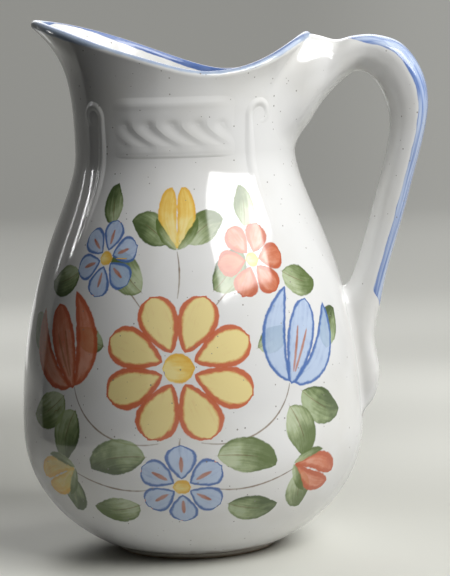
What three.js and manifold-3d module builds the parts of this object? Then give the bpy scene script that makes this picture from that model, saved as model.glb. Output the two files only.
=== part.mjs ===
// Glazed stoneware pitcher: a pear-shaped body with a pulled lip, an ear handle, a low unglazed
// foot, and on each side of the neck a moulded wave frieze between two scroll ribs.
// Millimetres, +Z up. The origin is on the vessel's axis at the underside of the foot.
// The lip points to -X, the handle to +X, and the two friezes face -Y and +Y.

import * as THREE from 'three';
import { mergeVertices } from 'three/addons/utils/BufferGeometryUtils.js';
import Module from 'manifold-3d';

// Foot
const FOOT_RADIUS = 36;
const FOOT_HEIGHT = 2.4;
const FOOT_CHAMFER = 0.8;
const FOOT_STEP = 1;

// Body: radii of its profile, height of the belly, rise from belly to neck, and thicknesses
const BELLY_RADIUS = 75.3;
const BELLY_HEIGHT = 55;
const NECK_RADIUS = 48.2;
const SHOULDER_RISE = 120.5;
const WALL = 5;
const FLOOR = 6;
// How far each stretch of the profile keeps the direction in which it starts or ends
const BASE_RUN = 19;
const BASE_SLOPE = 20;
const BELLY_RUN_DOWN = 28;
const BELLY_RUN_UP = 71;
const NECK_RUN_DOWN = 26;
// Flare of the neck, as shares of its rise and of its reach to the rim
const NECK_CURVE = { upright: 0.6, out: 0.24, up: 0.78 };

// Mouth: plan of the rim, its rises from neck to saddle and from saddle to each end, and thickness
const LIP_REACH = 65.6;
const LIP_ROUND = 13;
const LIP_TAPER = 32;
const MOUTH_HALF_WIDTH = 50;
const MOUTH_BACK = 56.5;
const BACK_ROUND = 0.55;
const SADDLE_X = 17;
const SADDLE_RISE = 32.1;
const LIP_RISE = 22.9;
const BACK_RISE = 15;
const RIM_THICKNESS = 4.2;
// Sag of the rim on the near side of the lip: its depth, how far behind the lip's end it is lowest,
// how far it runs each way from there, and how far from the middle plane it is full
const LIP_SAG = 2.6;
const LIP_SAG_BEHIND = 29.5;
const LIP_SAG_RUN = 26;
const LIP_SAG_SPREAD = 20;
// Bends of the rim seen from the side, as shares of the run and of the rise of each half
const LIP_CURVE = { hold: 0.4, drop: 0.13, settle: 0.76 };
const BACK_CURVE = { hold: 0.45, turn: 0.72, lift: 0.4 };

// Handle: root on the neck, crown, bow, strap, landing on the shoulder, and tail lying on the belly
const CROWN_RISE = 0.9;
const CROWN_INSET = 22.4;
const CROWN_THICKNESS = 15;
const THUMB_DIP = 1.65;
const ROOT_SWELL = 1.2;
const ROOT_DEPTH = 43.5;
const HANDLE_REACH = 106.9;
const BOW_DROP = 29.8;
const BOW_THICKNESS = 17;
const BOW_INSIDE_DROP = 10.2;
const STRAP_THICKNESS = 14;
const STRAP_SLANT = 22;
const STRAP_BULGE = 1.3;
const LANDING_RISE = 63;
const LANDING_STEP = 4.8;
const LANDING_DROP = 12;
const LANDING_SWELL = 5.5;
const TAIL_RISE = 21;
const TAIL_END_RISE = 2;
const TAIL_PROUD = 8.7;
const ROOT_WIDTH = 30;
const BOW_WIDTH = 20;
const STRAP_WIDTH = 15;
const TAIL_END_WIDTH = 9;
const HANDLE_SQUARENESS = 0.85;

// Wave frieze on the neck
const FRIEZE_STEP = 0.5;
const FRIEZE_HEIGHT = 22.3;
const FRIEZE_HALF_ANGLE = 35;
const FRIEZE_WAVES = 5.5;
const FRIEZE_BACKING = 0.4;
const FRIEZE_RELIEF = 1;
const FILLET_WIDTH = 2.6;
// Hollows between the waves: place and length of their fall, sweep towards the handle, half widths
// on the gentle side, and how soon they close above the head and below the tail
const WAVE_HEAD_DROP = 7;
const WAVE_FALL = 10;
const WAVE_SWEEP = 13.6;
const WAVE_CURL = 1.5;
const WAVE_HEAD_WIDTH = 3.4;
const WAVE_TAIL_WIDTH = 1.2;
const WAVE_CLOSE = 1.5;
// Level of the waves and depths of a hollow's head and tail, as shares of the relief
const WAVE_LEVEL = { crest: 0.8, head: 0.8, tail: 0.35 };
// Width of a hollow's steep side as a share of its gentle side, and the share of the pitch kept for it
const WAVE_STEEP = { width: 0.32, pitch: 0.25 };

// Scroll ribs beside the frieze
const RIB_GAP = 2.1;
const RIB_SPREAD = 5.5;
const RIB_LENGTH = 57.5;
const RIB_WIDTH = 5;
const RIB_RELIEF = 1;
const VOLUTE_RISE = 16;
const VOLUTE_RADIUS = 6;
const VOLUTE_EYE = 1.9;
const VOLUTE_TURNS = 1.1;
const VOLUTE_WIDTH = 3;
// Shares of the rib's length at which it is full and starts to fade, and its size at the end
const RIB_TAPER = { full: 0.3, fade: 0.4, end: 0.4 };

// Gap between a clay piece and the piece that it is set on
const SEAT_GAP = 0.3;

// How finely the forms are faceted
const SIDES = 56;
const LOWER_RINGS = 8;
const SHOULDER_RINGS = 11;
const NECK_RINGS = 10;
const RIM_RINGS = 4;
const HANDLE_STEPS = 46;
const HANDLE_SIDES = 16;
const WAVE_STEPS = 8;
const FRIEZE_ROWS = 10;
const RIB_STEPS = 14;
const VOLUTE_STEPS = 16;
const RIB_SIDES = 5;
const HALVINGS = 40;
const MERGE_DISTANCE = 1e-5;

// Heights that follow from the rises
const NECK_HEIGHT = BELLY_HEIGHT + SHOULDER_RISE;
const SADDLE_HEIGHT = NECK_HEIGHT + SADDLE_RISE;
const LIP_HEIGHT = SADDLE_HEIGHT + LIP_RISE;
const BACK_HEIGHT = SADDLE_HEIGHT + BACK_RISE;

const { clamp, degToRad, lerp, smoothstep } = THREE.MathUtils;
const wasm = await Module();
wasm.setup();

const flat = (x, y) => new THREE.Vector2(x, y);
const bezier = (a, b, c, d) => new THREE.CubicBezierCurve(a, b, c, d);
const steps = (count, make) => Array.from({ length: count }, (_, i) => make(i));

// A solid through a row of closed sections, each with the same number of points.
function loft(sections) {
  const count = sections[0].length;
  const index = [];
  for (let i = 0; i + 1 < sections.length; i++) {
    for (let j = 0; j < count; j++) {
      const a = i * count + j;
      const b = i * count + ((j + 1) % count);
      index.push(a, b, b + count, a, b + count, a + count);
    }
  }
  const last = (sections.length - 1) * count;
  for (const [a, b, c] of endTriangles(sections[0])) index.push(a, c, b);
  for (const [a, b, c] of endTriangles(sections.at(-1))) index.push(last + a, last + b, last + c);
  const geometry = new THREE.BufferGeometry();
  const positions = sections.flat().flatMap((p) => [p.x, p.y, p.z]);
  geometry.setAttribute('position', new THREE.Float32BufferAttribute(positions, 3));
  geometry.setIndex(index);
  return geometry;
}

// Triangles that close a nearly plane section, turned the way that its points run.
function endTriangles(section) {
  const normal = new THREE.Vector3();
  section.forEach((p, i) => normal.add(p.clone().cross(section[(i + 1) % section.length])));
  normal.normalize();
  const level = Math.abs(normal.z) > Math.SQRT1_2;
  const across = new THREE.Vector3(level ? 1 : 0, 0, level ? 0 : 1);
  across.cross(normal).normalize();
  const along = normal.clone().cross(across);
  return THREE.ShapeUtils.triangulateShape(section.map((p) => flat(p.dot(across), p.dot(along))), []);
}

// Share of a curve's length at which one of its coordinates reaches a value.
function reachOf(curve, coordinate, value) {
  let low = 0;
  let high = 1;
  const rising = curve.getPoint(1)[coordinate] > curve.getPoint(0)[coordinate];
  for (let i = 0; i < HALVINGS; i++) {
    const middle = (low + high) / 2;
    if (curve.getPoint(middle)[coordinate] < value === rising) low = middle;
    else high = middle;
  }
  return (low + high) / 2;
}

// Rim: half of its plan from the lip to the back, and its height seen from the side
const lipPlan = bezier(
  flat(-LIP_REACH, 0),
  flat(-LIP_REACH, LIP_ROUND),
  flat(-LIP_TAPER, MOUTH_HALF_WIDTH),
  flat(0, MOUTH_HALF_WIDTH),
);
const backPlan = bezier(
  flat(0, MOUTH_HALF_WIDTH),
  flat(BACK_ROUND * MOUTH_BACK, MOUTH_HALF_WIDTH),
  flat(MOUTH_BACK, BACK_ROUND * MOUTH_HALF_WIDTH),
  flat(MOUTH_BACK, 0),
);
const towardsSaddle = (share) => lerp(-LIP_REACH, SADDLE_X, share);
const towardsBack = (share) => lerp(SADDLE_X, MOUTH_BACK, share);
const lipRise = bezier(
  flat(-LIP_REACH, LIP_HEIGHT),
  flat(towardsSaddle(LIP_CURVE.hold), LIP_HEIGHT - LIP_CURVE.drop * LIP_RISE),
  flat(towardsSaddle(LIP_CURVE.settle), SADDLE_HEIGHT),
  flat(SADDLE_X, SADDLE_HEIGHT),
);
const backRise = bezier(
  flat(SADDLE_X, SADDLE_HEIGHT),
  flat(towardsBack(BACK_CURVE.hold), SADDLE_HEIGHT),
  flat(towardsBack(BACK_CURVE.turn), SADDLE_HEIGHT + BACK_CURVE.lift * BACK_RISE),
  flat(MOUTH_BACK, BACK_HEIGHT),
);

// Radius and height of the rim at an angle about the axis.
function rimAt(angle) {
  const turned = Math.abs(Math.atan2(Math.sin(angle), Math.cos(angle)));
  const planPoint = (u) => (u < 1 ? lipPlan.getPoint(u) : backPlan.getPoint(u - 1));
  let low = 0;
  let high = 2;
  for (let i = 0; i < HALVINGS; i++) {
    const middle = (low + high) / 2;
    const p = planPoint(middle);
    if (Math.atan2(p.y, p.x) > turned) low = middle;
    else high = middle;
  }
  const p = planPoint((low + high) / 2);
  const rise = p.x < SADDLE_X ? lipRise : backRise;
  const fromLowest = (p.x + LIP_REACH - LIP_SAG_BEHIND) / LIP_SAG_RUN;
  const nearness = smoothstep(-Math.sin(angle) * p.length(), 0, LIP_SAG_SPREAD);
  const sag = LIP_SAG * nearness * Math.exp(-(fromLowest ** 2));
  return flat(p.length(), rise.getPoint(reachOf(rise, 'x', p.x)).y - sag);
}

// Body profile, radius against height: base to belly, belly to neck, and neck to rim
const baseRadius = FOOT_RADIUS - FOOT_STEP;
const baseSlope = degToRad(BASE_SLOPE);
const lowerProfile = bezier(
  flat(baseRadius, FOOT_HEIGHT),
  flat(baseRadius + BASE_RUN * Math.cos(baseSlope), FOOT_HEIGHT + BASE_RUN * Math.sin(baseSlope)),
  flat(BELLY_RADIUS, BELLY_HEIGHT - BELLY_RUN_DOWN),
  flat(BELLY_RADIUS, BELLY_HEIGHT),
);
const shoulderProfile = bezier(
  flat(BELLY_RADIUS, BELLY_HEIGHT),
  flat(BELLY_RADIUS, BELLY_HEIGHT + BELLY_RUN_UP),
  flat(NECK_RADIUS, NECK_HEIGHT - NECK_RUN_DOWN),
  flat(NECK_RADIUS, NECK_HEIGHT),
);

function neckProfile(angle) {
  const rim = rimAt(angle);
  return bezier(
    flat(NECK_RADIUS, NECK_HEIGHT),
    flat(NECK_RADIUS, lerp(NECK_HEIGHT, rim.y, NECK_CURVE.upright)),
    flat(lerp(NECK_RADIUS, rim.x, NECK_CURVE.out), lerp(NECK_HEIGHT, rim.y, NECK_CURVE.up)),
    rim,
  );
}

function profileAt(angle, z) {
  if (z < BELLY_HEIGHT) return lowerProfile;
  return z < NECK_HEIGHT ? shoulderProfile : neckProfile(angle);
}

function onCircle(angle, radius, z) {
  return new THREE.Vector3(radius * Math.cos(angle), radius * Math.sin(angle), z);
}

// Direction out of the body's face where its profile has a given slope.
function outward(before, after, angle, slope) {
  const upward = new THREE.Vector3(slope.x * Math.cos(angle), slope.x * Math.sin(angle), slope.y);
  return after.clone().sub(before).cross(upward).normalize();
}

// Point on the body's outer face at an angle and a height, lifted off the face.
function onBody(angle, z, lift = 0) {
  const at = (turn) => {
    const profile = profileAt(turn, z);
    return onCircle(turn, profile.getPoint(reachOf(profile, 'y', z)).x, z);
  };
  const profile = profileAt(angle, z);
  const slope = profile.getTangent(reachOf(profile, 'y', z));
  const nearby = 0.001;
  return at(angle).addScaledVector(outward(at(angle - nearby), at(angle + nearby), angle, slope), lift);
}

// Rings of the body's outer face from its base to the rim, lifted off the face.
function bodyRings(lift) {
  const angles = steps(SIDES, (j) => (2 * Math.PI * j) / SIDES);
  const profiles = angles.map((angle) => [lowerProfile, shoulderProfile, neckProfile(angle)]);
  const stops = [[0, 0]];
  [LOWER_RINGS, SHOULDER_RINGS, NECK_RINGS].forEach((count, part) => {
    stops.push(...steps(count, (i) => [part, (i + 1) / count]));
  });
  const at = (j, part, t) => {
    const p = profiles[j][part].getPoint(t);
    return onCircle(angles[j], p.x, p.y);
  };
  return stops.map(([part, t]) => angles.map((angle, j) => {
    const before = at((j + SIDES - 1) % SIDES, part, t);
    const after = at((j + 1) % SIDES, part, t);
    const normal = outward(before, after, angle, profiles[j][part].getTangent(t));
    return at(j, part, t).addScaledVector(normal, lift);
  }));
}

// Body: outer face, rounded rim, inner face and floor in one closed shell
function bodyGeometry() {
  const outer = bodyRings(0);
  const lipOuter = outer.at(-1);
  const lipInner = bodyRings(-RIM_THICKNESS).at(-1);
  const rimRings = steps(RIM_RINGS - 1, (i) => lipOuter.map((p, j) => {
    const middle = p.clone().lerp(lipInner[j], 0.5);
    const across = p.clone().sub(middle);
    const upward = p.clone().sub(outer.at(-2)[j]).setLength(RIM_THICKNESS / 2);
    const turn = (Math.PI * (i + 1)) / RIM_RINGS;
    return middle.addScaledVector(across, Math.cos(turn)).addScaledVector(upward, Math.sin(turn));
  }));
  const floorHeight = FOOT_HEIGHT + FLOOR;
  const inner = bodyRings(-WALL).slice(0, -1).reverse();
  const wallRings = inner.filter((ring) => ring[0].z > floorHeight + WALL / 2);
  const edge = inner.find((ring) => ring[0].z <= floorHeight + WALL / 2);
  const floorRing = edge.map((p) => new THREE.Vector3(p.x, p.y, floorHeight));
  return loft([...outer, ...rimRings, lipInner, ...wallRings, floorRing]);
}

// The space that the body takes up, with the seat gap round it, carried up past the rim
function bodyEnvelope() {
  const rings = bodyRings(SEAT_GAP);
  const top = LIP_HEIGHT + 3 * RIM_THICKNESS;
  rings.push(rings.at(-1).map((p) => new THREE.Vector3(p.x, p.y, top)));
  return loft(rings);
}

function solidOf(geometry) {
  const bare = geometry.clone();
  bare.deleteAttribute('normal');
  bare.deleteAttribute('uv');
  const merged = mergeVertices(bare, MERGE_DISTANCE);
  return new wasm.Manifold(new wasm.Mesh({
    numProp: 3,
    vertProperties: new Float32Array(merged.attributes.position.array),
    triVerts: new Uint32Array(merged.index.array),
  }));
}

function geometryOf(solid) {
  const mesh = solid.getMesh();
  const geometry = new THREE.BufferGeometry();
  geometry.setAttribute('position', new THREE.BufferAttribute(new Float32Array(mesh.vertProperties), 3));
  geometry.setIndex(new THREE.BufferAttribute(new Uint32Array(mesh.triVerts), 1));
  return geometry;
}

// Stations of the handle, each with a point on its outer rail, one on its inner rail, and a width
function handleStations() {
  const seat = (z) => onBody(0, z).x;
  const rootX = seat(BACK_HEIGHT);
  const rootLow = BACK_HEIGHT - ROOT_DEPTH;
  const crown = flat(HANDLE_REACH - CROWN_INSET, BACK_HEIGHT + CROWN_RISE);
  const crownInside = crown.clone().sub(flat(CROWN_THICKNESS / 2, CROWN_THICKNESS));
  const bow = flat(HANDLE_REACH, crown.y - BOW_DROP);
  const bowInside = bow.clone().sub(flat(BOW_THICKNESS, BOW_INSIDE_DROP));

  const root = [
    { run: 0.12, lift: ROOT_SWELL, under: -0.16, rise: 0.17, narrowing: 0 },
    { run: 0.4, lift: -THUMB_DIP, under: 0.2, rise: 0.53, narrowing: 0.5 },
    { run: 0.66, lift: -0.15 * THUMB_DIP, under: 0.66, rise: 0.86, narrowing: 0.8 },
  ].map(({ run, lift, under, rise, narrowing }) => ({
    outer: flat(lerp(rootX, crown.x, run), crown.y + lift),
    inner: flat(lerp(rootX, crownInside.x, under), lerp(rootLow, crownInside.y, rise)),
    width: lerp(ROOT_WIDTH, BOW_WIDTH, narrowing),
  }));
  root.unshift({
    outer: flat(rootX - WALL, BACK_HEIGHT),
    inner: flat(seat(rootLow) - WALL, rootLow - WALL),
    width: ROOT_WIDTH,
  });

  const quarter = (from, to, turn) => flat(
    lerp(from.x, to.x, Math.sin(turn)),
    lerp(to.y, from.y, Math.cos(turn)),
  );
  const arch = [0, 30, 60, 90].map(degToRad).map((turn) => ({
    outer: quarter(crown, bow, turn),
    inner: quarter(crownInside, bowInside, turn),
    width: BOW_WIDTH,
  }));

  const landingHeight = BELLY_HEIGHT + LANDING_RISE;
  const heel = flat(seat(landingHeight) + LANDING_STEP, landingHeight);
  const levelThickness = STRAP_THICKNESS / Math.cos(degToRad(STRAP_SLANT));
  const toe = flat(heel.x + levelThickness, landingHeight);
  const bulge = flat(STRAP_BULGE, 0);
  const strap = [
    {
      outer: bow.clone().lerp(toe, 0.5).add(bulge),
      inner: bowInside.clone().lerp(heel, 0.5).add(bulge),
      width: lerp(BOW_WIDTH, STRAP_WIDTH, 0.8),
    },
    { outer: toe, inner: heel, width: STRAP_WIDTH },
  ];

  const tailHeight = BELLY_HEIGHT + TAIL_RISE;
  const tailEnd = BELLY_HEIGHT + TAIL_END_RISE;
  const tail = [
    { z: landingHeight - LANDING_DROP, proud: TAIL_PROUD + LANDING_SWELL, taper: 0 },
    { z: lerp(landingHeight, tailHeight, 0.62), proud: TAIL_PROUD, taper: 0 },
    { z: tailHeight, proud: TAIL_PROUD, taper: 0 },
    { z: lerp(tailHeight, tailEnd, 0.6), proud: 0.62 * TAIL_PROUD, taper: 0.6 },
    { z: tailEnd, proud: -0.2 * WALL, taper: 1 },
  ].map(({ z, proud, taper }) => ({
    outer: flat(seat(z) + proud, z),
    inner: flat(seat(z) - WALL, z),
    width: lerp(STRAP_WIDTH, TAIL_END_WIDTH, taper),
  }));
  return [...root, ...arch, ...strap, ...tail];
}

// Handle: rounded sections between its two rails, cut back to the body
function handleGeometry() {
  const stations = handleStations();
  const rail = (side) => new THREE.CatmullRomCurve3(
    stations.map((station) => new THREE.Vector3(station[side].x, 0, station[side].y)),
  );
  const outerRail = rail('outer');
  const innerRail = rail('inner');
  const widths = new THREE.SplineCurve(stations.map((station, i) => flat(i, station.width)));
  const squarish = (v) => Math.sign(v) * Math.abs(v) ** HANDLE_SQUARENESS;
  const sections = steps(HANDLE_STEPS + 1, (i) => {
    const outer = outerRail.getPoint(i / HANDLE_STEPS);
    const inner = innerRail.getPoint(i / HANDLE_STEPS);
    const half = widths.getPoint(i / HANDLE_STEPS).y / 2;
    const middle = outer.clone().lerp(inner, 0.5);
    const reach = outer.clone().sub(middle);
    return steps(HANDLE_SIDES, (k) => {
      const turn = (2 * Math.PI * k) / HANDLE_SIDES;
      const p = middle.clone().addScaledVector(reach, squarish(Math.cos(turn)));
      p.y -= half * squarish(Math.sin(turn));
      return p;
    });
  });
  return geometryOf(solidOf(loft(sections)).subtract(solidOf(bodyEnvelope())));
}

// Foot: a low disc of bare clay with a chamfered edge
function footGeometry() {
  const profile = [
    flat(0, 0),
    flat(FOOT_RADIUS - FOOT_CHAMFER, 0),
    flat(FOOT_RADIUS, FOOT_CHAMFER),
    flat(FOOT_RADIUS, FOOT_HEIGHT - FOOT_CHAMFER),
    flat(baseRadius, FOOT_HEIGHT),
    flat(0, FOOT_HEIGHT),
  ];
  return new THREE.LatheGeometry(profile, SIDES).rotateX(Math.PI / 2);
}

// Place on the near side of the neck, by distance along the neck and by height
const onNeck = (along, z, lift) => onBody(along / NECK_RADIUS - Math.PI / 2, z, lift);
const arcOf = (degrees) => degToRad(degrees) * NECK_RADIUS;

const friezeLow = NECK_HEIGHT + FRIEZE_STEP;
const friezeHigh = friezeLow + FRIEZE_HEIGHT;
const friezeHalf = arcOf(FRIEZE_HALF_ANGLE);

// Relief of the frieze: a fillet along its top, and a running wave cut by comma-shaped hollows, each
// steep on the lip's side and rising gently towards the handle
function friezeRelief(along, z) {
  const filletMiddle = friezeHigh - FILLET_WIDTH / 2;
  const fillet = Math.sqrt(Math.max(0, 1 - ((z - filletMiddle) / (FILLET_WIDTH / 2)) ** 2));
  const head = friezeHigh - FILLET_WIDTH - WAVE_HEAD_DROP;
  const fall = clamp((head - z) / WAVE_FALL, 0, 1);
  const pitch = (2 * friezeHalf) / FRIEZE_WAVES;
  const sideways = along - WAVE_SWEEP * fall ** WAVE_CURL;
  const fromHollow = sideways - pitch * Math.floor(sideways / pitch + WAVE_STEEP.pitch);
  const slant = (WAVE_SWEEP * WAVE_CURL * fall ** (WAVE_CURL - 1)) / WAVE_FALL;
  const gentle = lerp(WAVE_HEAD_WIDTH, WAVE_TAIL_WIDTH, fall);
  const width = fromHollow < 0 ? WAVE_STEEP.width * gentle : gentle;
  const across = fromHollow / Math.hypot(1, slant) / width;
  const past = Math.max(0, z - head, head - WAVE_FALL - z) / WAVE_CLOSE;
  const depth = lerp(WAVE_LEVEL.head, WAVE_LEVEL.tail, fall) * Math.exp(-(across ** 2) - past ** 2);
  return FRIEZE_RELIEF * Math.max(fillet, WAVE_LEVEL.crest - depth);
}

// Frieze: a thin curved strip on the neck with its relief standing out of it
function friezeGeometry() {
  const count = Math.round(FRIEZE_WAVES * WAVE_STEPS);
  const heights = steps(FRIEZE_ROWS + 1, (r) => lerp(friezeLow, friezeHigh, r / FRIEZE_ROWS));
  return loft(steps(count + 1, (i) => {
    const along = lerp(-friezeHalf, friezeHalf, i / count);
    const ends = smoothstep(Math.min(i, count - i), 0, 2);
    const face = heights.map((z) => {
      const relief = ends * friezeRelief(along, z);
      return onNeck(along, z, SEAT_GAP + FRIEZE_BACKING + relief);
    });
    const backing = heights.map((z) => onNeck(along, z, SEAT_GAP));
    return [...backing, ...face.reverse()];
  }));
}

// Scroll rib: from the eye of its volute, round the scroll, then down the shoulder to where it fades.
// The side is 1 next to the handle and -1 next to the lip.
function ribGeometry(side) {
  const line = friezeHalf + RIB_GAP + RIB_WIDTH / 2;
  const voluteHeight = NECK_HEIGHT + VOLUTE_RISE;
  const path = steps(VOLUTE_STEPS, (i) => {
    const share = i / VOLUTE_STEPS;
    const radius = lerp(VOLUTE_EYE, VOLUTE_RADIUS, share);
    const turn = Math.PI - 2 * Math.PI * VOLUTE_TURNS * (1 - share);
    return flat(line + VOLUTE_RADIUS + radius * Math.cos(turn), voluteHeight + radius * Math.sin(turn));
  });
  path.push(...steps(RIB_STEPS + 1, (i) => {
    const share = i / RIB_STEPS;
    return flat(line + arcOf(RIB_SPREAD) * share * share, voluteHeight - RIB_LENGTH * share);
  }));
  const sections = path.map((p, i) => {
    const before = path[Math.max(i - 1, 0)];
    const after = path[Math.min(i + 1, path.length - 1)];
    const across = after.clone().sub(before).normalize().rotateAround(flat(0, 0), Math.PI / 2);
    const down = i < VOLUTE_STEPS ? 0 : (voluteHeight - p.y) / RIB_LENGTH;
    const fade = lerp(1, RIB_TAPER.end, smoothstep(down, RIB_TAPER.fade, 1));
    const width = fade * lerp(VOLUTE_WIDTH, RIB_WIDTH, smoothstep(down, 0, RIB_TAPER.full));
    return steps(RIB_SIDES + 1, (k) => {
      const turn = (Math.PI * k) / RIB_SIDES;
      const q = p.clone().addScaledVector(across, (width * Math.cos(turn)) / 2);
      return onNeck(side * q.x, q.y, SEAT_GAP + fade * RIB_RELIEF * Math.sin(turn));
    });
  });
  return loft(side > 0 ? sections : sections.reverse());
}

// The same piece on the other side of the pitcher.
function mirrored(geometry) {
  const copy = geometry.clone().scale(1, -1, 1);
  const index = copy.index.array;
  for (let i = 0; i < index.length; i += 3) [index[i], index[i + 1]] = [index[i + 1], index[i]];
  return copy;
}

const group = new THREE.Group();
const glaze = new THREE.MeshStandardMaterial({ color: 0xe9e7e1, roughness: 0.15, metalness: 0 });
const bareClay = new THREE.MeshStandardMaterial({ color: 0x8a7157, roughness: 0.8, metalness: 0 });

function place(name, geometry, material) {
  const mesh = new THREE.Mesh(geometry, material);
  mesh.name = name;
  group.add(mesh);
}

place('foot', footGeometry(), bareClay);
place('body', bodyGeometry(), glaze);
place('handle', handleGeometry(), glaze);
for (const [name, geometry] of [
  ['neck_frieze', friezeGeometry()],
  ['front_scroll_rib', ribGeometry(-1)],
  ['rear_scroll_rib', ribGeometry(1)],
]) {
  place(`${name}_near`, geometry, glaze);
  place(`${name}_far`, mirrored(geometry), glaze);
}

export default group;
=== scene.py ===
import math
from types import SimpleNamespace
import bmesh
import bpy
import numpy as np
from mathutils import Matrix, Vector


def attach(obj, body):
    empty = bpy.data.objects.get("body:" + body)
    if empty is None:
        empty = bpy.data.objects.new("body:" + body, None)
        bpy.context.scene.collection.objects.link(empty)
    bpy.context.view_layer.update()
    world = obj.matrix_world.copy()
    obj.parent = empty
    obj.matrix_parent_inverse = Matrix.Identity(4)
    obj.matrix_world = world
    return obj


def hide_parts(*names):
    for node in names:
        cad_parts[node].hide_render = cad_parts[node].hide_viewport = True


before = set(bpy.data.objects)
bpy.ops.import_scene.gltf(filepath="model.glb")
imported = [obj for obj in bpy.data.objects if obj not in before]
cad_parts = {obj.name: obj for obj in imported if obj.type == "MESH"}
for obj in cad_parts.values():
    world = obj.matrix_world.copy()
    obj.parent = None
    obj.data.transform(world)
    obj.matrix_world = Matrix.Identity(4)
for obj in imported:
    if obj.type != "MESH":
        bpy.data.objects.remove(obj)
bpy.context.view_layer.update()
print("stage 1: packed frame loaded")

mm = 0.001  # shapes are worked out in millimetres and set down in metres
nearSide = -math.pi / 2  # angle about the axis of the side that faces the camera
farSide = math.pi / 2


# a dictionary's values under their names
def named(values):
    return SimpleNamespace(**values)


def lerp(a, b, share):
    return a + (b - a) * share


def ease(x, low, high):
    share = np.clip((x - low) / (high - low), 0, 1)
    return share * share * (3 - 2 * share)


def bezier(points, t):
    a, b, c, d = (np.asarray(p, float) for p in points)
    t = np.asarray(t, float)[..., None]
    s = 1 - t
    return s ** 3 * a + 3 * s * s * t * b + 3 * s * t * t * c + t ** 3 * d


def unit(vectors):
    return vectors / np.maximum(np.linalg.norm(vectors, axis=-1, keepdims=True), 1e-9)


def dot(a, b):
    return np.einsum("ij,ij->i", a, b)


# a smooth line through points, taken at places counted in points from the first
def splineAt(points, places):
    p = np.asarray(points, float)
    p = np.vstack([2 * p[0] - p[1], p, 2 * p[-1] - p[-2]])
    places = np.clip(places, 0, len(p) - 3)
    first = np.minimum(places.astype(int), len(p) - 4)
    t = (places - first)[:, None]
    a, b, c, d = p[first], p[first + 1], p[first + 2], p[first + 3]
    step = [np.linalg.norm(q - o, axis=1, keepdims=True) ** 0.5 for o, q in ((a, b), (b, c), (c, d))]
    step = [np.maximum(s, 1e-3) for s in step]
    leave = ((b - a) / step[0] - (c - a) / (step[0] + step[1]) + (c - b) / step[1]) * step[1]
    arrive = ((c - b) / step[1] - (d - b) / (step[1] + step[2]) + (d - c) / step[2]) * step[1]
    bend = 3 * (c - b) - 2 * leave - arrive
    twist = 2 * (b - c) + leave + arrive
    return b + leave * t + bend * t ** 2 + twist * t ** 3


# body: the thrown form, in millimetres
bodyShape = {
    "baseRadius": 36.8, "baseHeight": 2.4, "baseRun": 19.0, "baseSlope": 21.0,
    "bellyRadius": 75.3, "bellyHeight": 55.0, "bellyRunDown": 28.0, "bellyRunUp": 71.0,
    "neckRadius": 48.2, "neckHeight": 175.5, "neckRunDown": 22.0,
    "neckUpright": 0.6, "neckOut": 0.24, "neckUp": 0.78,
    "lipReach": 65.6, "lipRound": 13.0, "lipTaper": 32.0, "mouthHalfWidth": 50.0,
    "mouthBack": 56.5, "backRound": 0.55,
    "saddleX": 17.0, "saddleRise": 32.1, "lipRise": 22.9, "backRise": 15.0,
    "lipHold": 0.4, "lipDroop": 0.13, "saddleFrom": 0.76, "saddleTo": 0.45, "backBend": 0.72, "backLift": 0.4,
    "lipSag": 2.6, "lipSagBehind": 29.5, "lipSagRun": 26.0, "lipSagSpread": 20.0,
    "wall": 5.0, "rimThickness": 4.2, "rimBlend": 25.0, "rimProbe": 0.5, "floorHeight": 8.4, "innerEnd": 2.5,
    "cove": ((0.985, 0.9), (0.95, 0.0)), "floorShares": (0.7, 0.4, 0.15, 0), "baseShares": (0, 0.4, 0.8),
    "glazeRoll": 0.45, "glazeRollHeight": 2.0, "glazeRollWidth": 1.3,
    "segments": 384, "ringStep": 1.15, "plainStep": 2.6, "plainFrom": 160.0, "rimSteps": 10, "innerStride": 6,
    "neckRings": 20, "neckEven": 0.93, "neckLast": (0.955, 0.975, 0.99, 1),
}
b = named(bodyShape)
saddleHeight = b.neckHeight + b.saddleRise
lipHeight = saddleHeight + b.lipRise
backHeight = saddleHeight + b.backRise

baseSlope = math.radians(b.baseSlope)
baseOut, baseUp = b.baseRun * math.cos(baseSlope), b.baseRun * math.sin(baseSlope)
lowerCurve = [
    (b.baseRadius, b.baseHeight),
    (b.baseRadius + baseOut, b.baseHeight + baseUp),
    (b.bellyRadius, b.bellyHeight - b.bellyRunDown),
    (b.bellyRadius, b.bellyHeight),
]
shoulderCurve = [
    (b.bellyRadius, b.bellyHeight),
    (b.bellyRadius, b.bellyHeight + b.bellyRunUp),
    (b.neckRadius, b.neckHeight - b.neckRunDown),
    (b.neckRadius, b.neckHeight),
]
fine = np.linspace(0, 1, 600)
belowNeck = np.vstack([bezier(lowerCurve, fine), bezier(shoulderCurve, fine[1:])])
belowNeckRun = np.concatenate([[0], np.cumsum(np.linalg.norm(np.diff(belowNeck, axis=0), axis=1))])


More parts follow.
